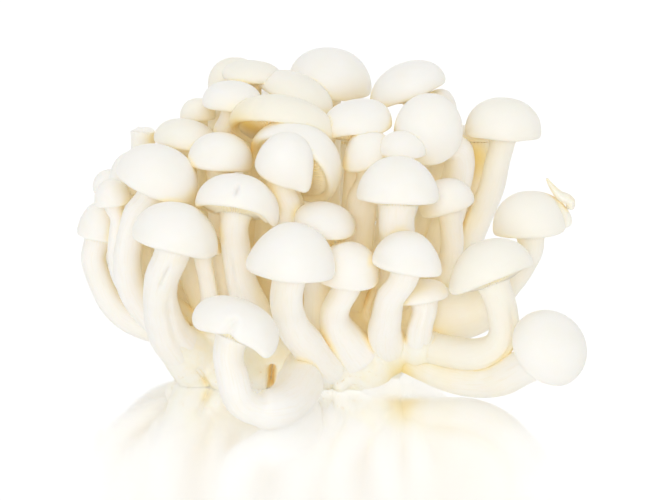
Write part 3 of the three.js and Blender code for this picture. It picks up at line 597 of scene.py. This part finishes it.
def mushroom_skin(row, seed):
    name, centre, lean, (radius, height), stem, route = row
    rng = rng_of(seed)
    skin = Skin(name)
    gills = max(GILLS_LEAST, round(GILLS_PER_MM * radius))
    corners = [*route, centre]
    foot, run = stem_skin(skin, corners, stem, rng, gills, lean_axis(lean), JOINT_DROP * radius)
    cap = Cap(row, rng)
    add_gills(skin, cap, GILL_START * stem[1], gills, run)
    add_dome(skin, cap, 2 * gills, run)
    skin.close(foot, cap.ring(0.0, height, 4, 1.0).mean(axis=0))
    return skin


def broken_skin():
    """The stem that has lost its cap, with a ragged hollow where it broke."""
    skin = Skin("broken_stem")
    foot, run = stem_skin(skin, BROKEN_ROUTE, BROKEN_RADII, rng_of(77), BROKEN_SIDES)
    tear = waves(rng_of(78), (1, 2, 5, 9), RAGGEDNESS)(around(BROKEN_SIDES))
    middle = np.array(BROKEN_ROUTE[-1], float)
    rim = skin.rings[-1].copy()
    skin.rings[-1][:, 2] += tear
    for inward, ragged, sink in BREAK:
        torn = rim + (middle - rim) * inward
        torn[:, 2] += tear * (1 - inward) * ragged - sink
        skin.add(torn, run=run + 3 * inward)
    skin.close(foot, middle - (0, 0, 0.5))
    return skin


def shred_skin():
    """The strip of skin that curls up off the torn cap."""
    skin = Skin("shred")
    points, runs, tangents = along_curve(SHRED, SHRED_STEP)
    stations = np.linspace(0, runs[-1], len(SHRED_THICKNESS))
    depth = np.array([0, 1, 0])
    for point, tangent, run in zip(points, tangents, runs):
        thick = np.interp(run, stations, SHRED_THICKNESS)
        section = circle(around(14), np.cross(tangent, depth), SHRED_WIDTH * depth)
        skin.add(point + thick * section, cap=1.0)
    skin.close(points[0] - tangents[0] * 0.3, points[-1] + tangents[-1] * 0.15)
    return skin


def give_way(skin, earlier):
    """Moves the points of a skin that lie deep inside an earlier neighbour back to just under its surface.
    The skin keeps the shading of its unpressed shape, so it looks round right up to the neighbour."""
    skin.rounding = skin.normals()
    movable = (skin.ring_of >= skin.stem_rings) | (skin.run > SOFT_FROM * skin.runs[skin.stem_rings - 1])
    for tree, low, high in earlier:
        near = movable & np.all(skin.points > low, axis=1) & np.all(skin.points < high, axis=1)
        for i in np.flatnonzero(near):
            spot, normal, _, _ = tree.find_nearest(Vector(skin.points[i]))
            if (Vector(skin.points[i]) - spot).dot(normal) < -PRESS:
                skin.points[i] = spot - normal * PRESS


def ball(place, radius):
    skin = Skin("ball")
    turns = around(BALL_SIDES)
    levels = BALL_SIDES // 2
    for level in range(1, levels):
        polar = math.pi * (1 - level / levels)
        height = np.full(BALL_SIDES, math.cos(polar))
        ring = np.stack([math.sin(polar) * np.cos(turns), math.sin(polar) * np.sin(turns), height], 1)
        skin.add(np.array(place) + radius * ring)
    skin.close(np.array(place) - (0, 0, radius), np.array(place) + (0, 0, radius))
    return skin


def lump():
    """The middle of the base, a squarish round with shallow lobes."""
    skin = Skin("lump")
    angle = around(BASE_SIDES)
    lobe = 1 + BASE_LOBE_DEPTH * np.sin(BASE_LOBES * angle)
    corner = np.abs(np.cos(angle)) ** BASE_SQUARENESS + np.abs(np.sin(angle)) ** BASE_SQUARENESS
    lobe = lobe / corner ** (1 / BASE_SQUARENESS)
    for reach, rise in BASE_PROFILE:
        x = BASE_CENTRE[0] + np.cos(angle) * lobe * reach * BASE_HALF[0]
        y = BASE_CENTRE[1] + np.sin(angle) * lobe * reach * BASE_HALF[1]
        skin.add(np.stack([x, y, np.full(BASE_SIDES, rise * BASE_HEIGHT)], 1))
    skin.close(np.array([*BASE_CENTRE, 0.0]), np.array([*BASE_CENTRE, float(BASE_HEIGHT)]))
    return skin


def foot_tube(name, corners, radii):
    """The base's flesh round the lower part of a stem, which narrows until it hides inside the stem."""
    tube = Skin(name)
    points, runs, tangents = along_curve(corners, FOOT_STEP)
    across = np.array([1.0, 0, 0])
    length = FUSED_FEET.get(name, min(FOOT_REACH, FOOT_REACH_SHARE * runs[-1]))
    last = int(np.searchsorted(runs, length))
    for i in range(last):
        across = unit(across - tangents[i] * np.dot(across, tangents[i]))
        stem = stem_radius_at(radii, runs[i] / runs[-1])
        reach = stem + FOOT_COVER - FOOT_SINK * smooth(runs[i] / length)
        tube.add(points[i] + reach * circle(around(FOOT_SIDES), across, np.cross(tangents[i], across)))
    tube.close(points[0] - tangents[0] * 1.5, points[last])
    return tube


def base_parts():
    """The closed skins that melt together into the base: the lump, its buds and the stems' feet."""
    parts = [lump()]
    for name, centre, _, _, stem, route in MUSHROOMS:
        parts.append(foot_tube(name, [*route, centre], stem))
    parts.append(foot_tube("broken_stem", BROKEN_ROUTE, BROKEN_RADII))
    feet = [(route[0], stem[0] + FOOT_COVER) for *_, stem, route in MUSHROOMS]
    parts += [ball(place, radius) for place, radius in BUDS + feet]
    return [(part.points, part.triangles) for part in parts]


def make_base():
    """The base's points and triangles: its parts melted together, softened and carved."""
    rough = mesh_object("rough_base", *merged(base_parts()), {})
    melt = rough.modifiers.new("melt", "REMESH")
    melt.mode = "VOXEL"
    melt.voxel_size = MELT_GRAIN * MM
    soften = rough.modifiers.new("soften", "SMOOTH")
    soften.factor = 0.5
    soften.iterations = MELT_PASSES
    depsgraph = bpy.context.evaluated_depsgraph_get()
    mesh = bpy.data.meshes.new_from_object(rough.evaluated_get(depsgraph))
    bpy.data.objects.remove(rough)
    mesh.calc_loop_triangles()
    points = np.empty(3 * len(mesh.vertices), np.float32)
    mesh.vertices.foreach_get("co", points)
    triangles = np.empty(3 * len(mesh.loop_triangles), np.int32)
    mesh.loop_triangles.foreach_get("vertices", triangles)
    bpy.data.meshes.remove(mesh)
    points = points.reshape(-1, 3).astype(float) / MM
    carve_base(points)
    return points, triangles.reshape(-1, 3)


def carve_base(points):
    """Cuts the clefts into the base's front, lifts parts of its front edge and flattens its underside."""
    front = points[:, 1] < CLEFTS_BEFORE
    for (top_x, top_z), (low_x, low_z), half, depth in CLEFTS:
        share = (points[:, 2] - low_z) / (top_z - low_z)
        away = (points[:, 0] - low_x - (top_x - low_x) * share) / half
        ends = smooth((1.25 - share) / 0.3) * smooth((share + 0.25) / 0.25)
        points[:, 1] += depth * np.exp(-(away**2)) * ends * front
    for middle, half, lift in LIFTS:
        beside = ((points[:, 0] - middle) / half) ** 2
        raised = lift * np.exp(-beside) * smooth((-3 - points[:, 1]) / 7)
        points[:, 2] = np.maximum(points[:, 2], raised)
    points[:, 2] = np.where(points[:, 2] < FLAT_BELOW, 0, points[:, 2])


def new_object(name, data):
    thing = bpy.data.objects.new(name, data)
    bpy.context.scene.collection.objects.link(thing)
    return thing


def mesh_object(name, points, triangles, attributes, normals=None):
    mesh = bpy.data.meshes.new(name)
    mesh.vertices.add(len(points))
    mesh.vertices.foreach_set("co", (points * MM).astype(np.float32).ravel())
    mesh.loops.add(3 * len(triangles))
    mesh.loops.foreach_set("vertex_index", triangles.astype(np.int32).ravel())
    mesh.polygons.add(len(triangles))
    mesh.polygons.foreach_set("loop_start", np.arange(0, 3 * len(triangles), 3, dtype=np.int32))
    mesh.polygons.foreach_set("use_smooth", np.ones(len(triangles), bool))
    for key, values in attributes.items():
        layer = mesh.attributes.new(key, "FLOAT_VECTOR", "POINT")
        layer.data.foreach_set("vector", values.astype(np.float32).ravel())
    mesh.update()
    mesh.validate()
    if normals is not None:
        mesh.normals_split_custom_set_from_vertices([tuple(normal) for normal in normals])
    return new_object(name, mesh)


def tone_and_shade_of(points, normals, tree, creamy):
    """For each point: how creamy its mushroom is, which is partly painted shade, how strong the painted
    golden shade of the spots is there, and how near it comes to whatever faces it, which sets painted golden
    shade in crevices."""
    # How strong the painted golden shade of the spots is at each point.
    shade_spot = np.zeros(len(points))
    for place, radius, strength in PAINTED_SHADE_SPOTS:
        away = np.linalg.norm(points - place, axis=1) / radius
        shade_spot = np.maximum(shade_spot, strength * np.exp(-(away**2)))
    # How near a point comes to what faces it, which sets its painted golden shade in crevices.
    near = np.zeros(len(points))
    for i, (point, normal) in enumerate(zip(points, normals)):
        distance = tree.ray_cast(Vector(point + RAY_START * normal), Vector(normal), CREVICE)[3]
        if distance is not None:
            near[i] = 1 - distance / CREVICE
    return np.stack([np.full(len(points), creamy), shade_spot, near], 1)


def sphere_directions(count):
    i = np.arange(count) + 0.5
    polar = np.arccos(1 - 2 * i / count)
    turn = math.pi * (1 + 5**0.5) * i
    return np.stack([np.sin(polar) * np.cos(turn), np.sin(polar) * np.sin(turn), np.cos(polar)], 1)


DIRECTIONS = sphere_directions(SKY_LOOKS)


def closedness(tree, point, normal):
    """The share of the sky that the rest of the bunch hides from a point on a skin."""
    facing = DIRECTIONS @ normal
    start = Vector(point + normal * SKY_START)
    total = seen = 0.0
    for direction, weight in zip(DIRECTIONS, facing):
        if weight <= SKY_GRAZING:
            continue
        total += weight
        if tree.ray_cast(start, Vector(direction))[0] is None:
            seen += weight
    return 1 - seen / total


def shade_of(skin, tree):
    """How closed in each point of a skin is, from 0 to 1: sampled on some spokes of some rings."""
    normals = skin.normals()
    chosen = sorted({*range(0, len(skin.rings), SHADE_RINGS), len(skin.rings) - 1})
    grid = []
    for ring in chosen:
        count = len(skin.rings[ring])
        row = []
        for spoke in range(SHADE_SPOKES):
            vertex = skin.starts[ring] + round(spoke * count / SHADE_SPOKES) % count
            row.append(closedness(tree, skin.points[vertex], normals[vertex]))
        grid.append(row)
    grid = np.array(grid)
    place = np.interp(skin.ring_of, chosen, np.arange(len(chosen)))
    low = np.floor(place).astype(int)
    high = np.minimum(low + 1, len(chosen) - 1)
    part = place - low
    turn = skin.angle / (2 * math.pi) * SHADE_SPOKES
    left = np.floor(turn).astype(int) % SHADE_SPOKES
    right = (left + 1) % SHADE_SPOKES
    share = turn - np.floor(turn)
    under = grid[low, left] * (1 - share) + grid[low, right] * share
    over = grid[high, left] * (1 - share) + grid[high, right] * share
    return under * (1 - part) + over * part


def colour(red, green, blue):
    """A colour given as the 0 to 255 numbers of a picture."""
    def straight(value):
        value /= 255
        return value / 12.92 if value <= 0.04045 else ((value + 0.055) / 1.055) ** 2.4
    return (straight(red), straight(green), straight(blue), 1.0)


CAP_TONE = colour(252, 249, 242)
STEM_TONE = colour(253, 250, 244)
GILL_TONE = colour(253, 244, 221)
MOTTLE_TONE = colour(248, 240, 220)
STREAK_TONE = colour(243, 232, 205)
CREAM_TONE = colour(250, 244, 229)
BASE_TONE = colour(253, 250, 240)
BASE_PATCH_TONE = colour(252, 245, 225)
SPECK_TONE = colour(232, 205, 158)
# Painted golden shade: where the rest of the bunch closes a place in, in crevices, and at the spots of
# painted shade.
PAINTED_DEEP_SHADE = colour(255, 245, 210)
PAINTED_CREVICE_SHADE = colour(255, 243, 210)
PAINTED_SHADE_SPOT_TONE = colour(249, 219, 116)
WHITE = (1, 1, 1, 1)


class Nodes:
    """A short way to write the nodes of a material or of the world."""

    def __init__(self, owner, output):
        owner.use_nodes = True
        self.tree = owner.node_tree
        self.tree.nodes.clear()
        self.output = self.add(output, {}).inputs[0]

    def add(self, kind, inputs, **settings):
        """A node with values or links at some of its inputs, which are given by name or number."""
        node = self.tree.nodes.new("ShaderNode" + kind)
        for key, value in settings.items():
            setattr(node, key, value)
        for key, value in inputs.items():
            self.put(node.inputs[key], value)
        return node

    def put(self, socket, value):
        if isinstance(value, bpy.types.NodeSocket):
            self.tree.links.new(value, socket)
        else:
            socket.default_value = value

    def maths(self, operation, a, b):
        return self.add("Math", {0: a, 1: b}, operation=operation).outputs[0]

    def times(self, a, b):
        return self.maths("MULTIPLY", a, b)

    def plus(self, a, b):
        return self.maths("ADD", a, b)

    def mix(self, factor, a, b):
        return self.add("Mix", {0: factor, 6: a, 7: b}, data_type="RGBA").outputs[2]

    def blend(self, factor, a, b):
        """Two shaders as one: the factor is the share of the second."""
        return self.add("MixShader", {0: factor, 1: a, 2: b}).outputs[0]

    def noise(self, place, scale, detail, roughness=0.5):
        inputs = {"Vector": place, "Scale": scale, "Detail": detail, "Roughness": roughness}
        return self.add("TexNoise", inputs).outputs[0]

    def ramp(self, value, low, high, floor=0.0, ceiling=1.0, curve="LINEAR"):
        inputs = dict(enumerate((value, low, high, floor, ceiling)))
        return self.add("MapRange", inputs, interpolation_type=curve).outputs[0]

    def split(self, vector):
        return self.add("SeparateXYZ", {0: vector}).outputs

    def attribute(self, name):
        return self.add("Attribute", {}, attribute_name=name).outputs["Vector"]

    def coordinates(self, kind):
        return self.add("TexCoord", {}).outputs[kind]


def new_material(name):
    material = bpy.data.materials.new(name)
    return material, Nodes(material, "OutputMaterial")


def paint_golden_shade(n, base, deep, deep_from, tone_and_shade):
    """A colour with painted golden shade over it: in closed-in places, in crevices and at the spots of
    painted shade. The per-point tones give the strengths of the last two.
    """
    _, shade_spot, near = tone_and_shade
    base = n.mix(n.ramp(deep, deep_from, 1.0, 0.0, 0.5), base, PAINTED_DEEP_SHADE)
    base = n.mix(n.times(near, 0.8), base, PAINTED_CREVICE_SHADE)
    return n.mix(shade_spot, base, PAINTED_SHADE_SPOT_TONE)


def put_flesh(n, base, roughness, relief, strength, shine):
    """Finishes a material as flesh: light soaks into it, and a relief of under a millimetre covers it."""
    bump = n.add("Bump", {"Height": relief, "Strength": strength, "Distance": MM}).outputs[0]
    skin = n.add("BsdfPrincipled", {
        "Base Color": base, "Roughness": roughness, "Normal": bump, "Specular IOR Level": shine,
        "Subsurface Weight": 0.35, "Subsurface Radius": (1.0, 0.85, 0.68), "Subsurface Scale": MM,
    })
    n.put(n.output, skin.outputs[0])


def flesh_material():
    """The mushrooms: mottled caps, fibrous stems and creamy gills."""
    material, n = new_material("mushroom_flesh")
    cap, gill, deep = n.split(n.attribute("zone"))
    tone_and_shade = n.split(n.attribute("tone_and_shade"))
    place = n.coordinates("Object")
    mottle = n.noise(place, 160.0, 2.0)
    streak = n.noise(n.attribute("fibre"), 5.0, 4.0, 0.6)
    grain = n.noise(place, 900.0, 2.0)
    on_stem = n.ramp(cap, 0, 1, 1, 0)
    base = n.mix(cap, STEM_TONE, CAP_TONE)
    base = n.mix(gill, base, GILL_TONE)
    base = n.mix(n.ramp(mottle, 0.42, 0.75, 0.0, 0.22), base, MOTTLE_TONE)
    base = n.mix(n.times(n.ramp(streak, 0.5, 0.8, 0.0, 0.35), on_stem), base, STREAK_TONE)
    # Creamier caps: partly their own tone and partly painted shade.
    base = n.mix(n.times(tone_and_shade[0], 0.9), base, CREAM_TONE)
    # Painted golden shade over the flesh in closed-in places, in crevices and at the spots of painted shade.
    base = paint_golden_shade(n, base, deep, 0.6, tone_and_shade)
    fibres = n.times(streak, n.ramp(cap, 0, 1, 0.09, 0.01))
    relief = n.plus(fibres, n.times(grain, 0.02))
    roughness = n.ramp(n.plus(mottle, gill), 0.3, 1.0, 0.46, 0.6)
    put_flesh(n, base, roughness, relief, 0.6, 0.35)
    return material


def base_material():
    """The base: patchy, with pale brown specks within 9 mm of the floor."""
    material, n = new_material("base_flesh")
    deep = n.split(n.attribute("zone"))[2]
    tone_and_shade = n.split(n.attribute("tone_and_shade"))
    place = n.coordinates("Object")
    patch = n.noise(place, 220.0, 5.0, 0.6)
    speck = n.noise(place, 700.0, 3.0, 0.7)
    low = n.ramp(n.split(place)[2], 0.003, 0.009, 1, 0)
    base = n.mix(n.ramp(patch, 0.42, 0.72), BASE_TONE, BASE_PATCH_TONE)
    base = n.mix(n.times(low, n.ramp(speck, 0.62, 0.7, 0.0, 0.6)), base, SPECK_TONE)
    # Painted golden shade over the base in closed-in places, in crevices and at the spots of painted shade.
    base = paint_golden_shade(n, base, deep, 0.5, tone_and_shade)
    relief = n.plus(n.times(patch, 0.8), n.times(speck, 0.25))
    put_flesh(n, base, n.ramp(patch, 0.3, 0.7, 0.6, 0.75), relief, 0.3, 0.5)
    return material


# The stage. Its lengths are in metres.
FLOOR_HALF = 2.5
FLOOR_DROP = 0.0001
CAMERA_TARGET = (0.0114, 0, 0.032)
CAMERA_ELEVATION = math.radians(12)
CAMERA_DISTANCE = 0.6
VIEW_WIDTH = 0.16525  # how wide the picture is at the target


def floor_material():
    """White paper that glows a little, under a glaze that mirrors the bunch faintly."""
    material, n = new_material("floor_white")
    seen = n.add("LightPath", {}).outputs["Is Camera Ray"]
    paper = n.add("BsdfDiffuse", {0: (0.93, 0.93, 0.92, 1)}).outputs[0]
    glow = n.add("Emission", {0: (1, 1, 0.985, 1), 1: 1.17}).outputs[0]
    lit = n.blend(n.ramp(seen, 0, 1, 0.62, 0.8), paper, glow)
    x, y, _ = n.split(n.coordinates("Object"))
    gloss = n.add("BsdfGlossy", {0: WHITE, 1: n.ramp(y, -0.09, -0.03, 0.24, 0.08)}).outputs[0]
    # The mirror is stronger in front of the bunch and to its left. That fades between 20 and 85 mm
    # from the middle, and more slowly sideways.
    across = n.times(x, 0.4)
    away = n.maths("POWER", n.plus(n.times(across, across), n.times(y, y)), 0.5)
    fade = n.ramp(away, 0.02, 0.085, 0.47, 0, "SMOOTHSTEP")
    place = n.maths("MAXIMUM", n.ramp(y, -0.026, -0.018, 1, 0), n.ramp(x, -0.01, 0, 1, 0))
    mirror = n.plus(n.times(fade, place), 0.37)
    # Light that bounces off the floor meets paper and mirror half and half.
    share = n.plus(n.times(seen, n.maths("SUBTRACT", mirror, 0.5)), 0.5)
    n.put(n.output, n.blend(share, lit, gloss))
    return material


def make_floor():
    mesh = bpy.data.meshes.new("floor")
    corners = [(x * FLOOR_HALF, y * FLOOR_HALF, 0) for x, y in ((-1, -1), (1, -1), (1, 1), (-1, 1))]
    mesh.from_pydata(corners, [], [(0, 1, 2, 3)])
    floor = new_object("floor", mesh)
    floor.location.z = -FLOOR_DROP
    floor.data.materials.append(floor_material())
    return floor


def light_room():
    """Soft, plain light: a room that is paler overhead, and one large lamp in front and above."""
    world = bpy.data.worlds.new("room")
    bpy.context.scene.world = world
    n = Nodes(world, "OutputWorld")
    path = n.add("LightPath", {}).outputs
    seen = n.maths("MAXIMUM", path["Is Camera Ray"], path["Is Glossy Ray"])
    seen = n.maths("MAXIMUM", seen, path["Is Transmission Ray"])
    upward = n.split(n.coordinates("Generated"))[2]
    level = n.ramp(seen, 0, 1, n.ramp(upward, 0, 1, 0.57, 0.99), 1.03)
    n.put(n.output, n.add("Background", {0: WHITE, 1: level}).outputs[0])

    light = bpy.data.lights.new("front", "AREA")
    light.shape = "DISK"
    light.size = 0.35
    light.energy = 3.7
    lamp = new_object("front", light)
    lamp.location = (-0.08, -1.4, 0.35)
    aim = Vector((0.01, 0, 0.03)) - lamp.location
    lamp.rotation_euler = aim.to_track_quat("-Z", "Y").to_euler()


def place_camera():
    """The photo's view: from the front and a little above."""
    data = bpy.data.cameras.new("camera")
    data.sensor_width = 36
    data.lens = data.sensor_width * CAMERA_DISTANCE / VIEW_WIDTH
    data.clip_start = 0.05
    data.clip_end = 20
    camera = new_object("camera", data)
    backward = Vector((0, -math.cos(CAMERA_ELEVATION), math.sin(CAMERA_ELEVATION)))
    camera.location = Vector(CAMERA_TARGET) + backward * CAMERA_DISTANCE
    camera.rotation_euler = (math.pi / 2 - CAMERA_ELEVATION, 0, 0)
    bpy.context.scene.camera = camera


# The mushrooms, front ones first: each later one gives way to those before it.
skins = []
earlier = []
for seed, row in enumerate(MUSHROOMS, FIRST_SEED):
    skin = mushroom_skin(row, seed)
    give_way(skin, earlier)
    skin.points[:, 2] = np.maximum(skin.points[:, 2], 0)
    earlier.append((tree_of(skin.points, skin.triangles), skin.points.min(axis=0), skin.points.max(axis=0)))
    skins.append(skin)
broken = broken_skin()
give_way(broken, earlier)
skins.append(broken)
torn_cap = next(skin for skin in skins if skin.name == "right_torn")
torn_cap.join(shred_skin())
base_points, base_triangles = make_base()
whole = tree_of(*merged([(skin.points, skin.triangles) for skin in skins] + [(base_points, base_triangles)]))

flesh = flesh_material()
for skin in skins:
    # The zone's third share is how closed in a point is, which sets its painted golden shade.
    zone = np.stack([skin.cap, skin.gill, shade_of(skin, whole)], 1)
    fibre = np.stack([np.cos(skin.angle) * 1.6, np.sin(skin.angle) * 1.6, skin.run * 0.035], 1)
    tone_and_shade = tone_and_shade_of(skin.points, skin.rounding, whole, CREAMY.get(skin.name, 0.0))
    look = {"zone": zone, "fibre": fibre, "tone_and_shade": tone_and_shade}
    piece = mesh_object(skin.name + "_skin", skin.points, skin.triangles, look, skin.rounding)
    piece.data.materials.append(flesh)
    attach(piece, "root")
    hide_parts(skin.name)

normals = vertex_normals(base_points, base_triangles)
# How closed in each point of the base is, which sets its painted golden shade.
shade = np.array([closedness(whole, point, normal) for point, normal in zip(base_points, normals)])
zone = np.stack([shade * 0, shade * 0, shade], 1)
look = {"zone": zone, "tone_and_shade": tone_and_shade_of(base_points, normals, whole, 0.0)}
base_piece = mesh_object("base_skin", base_points, base_triangles, look)
base_piece.data.materials.append(base_material())
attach(base_piece, "root")
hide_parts("base")

floor = make_floor()
light_room()
place_camera()
bpy.context.scene.view_settings.view_transform = "Standard"
bpy.context.scene.cycles.max_bounces = 24
bpy.context.scene.cycles.diffuse_bounces = 16
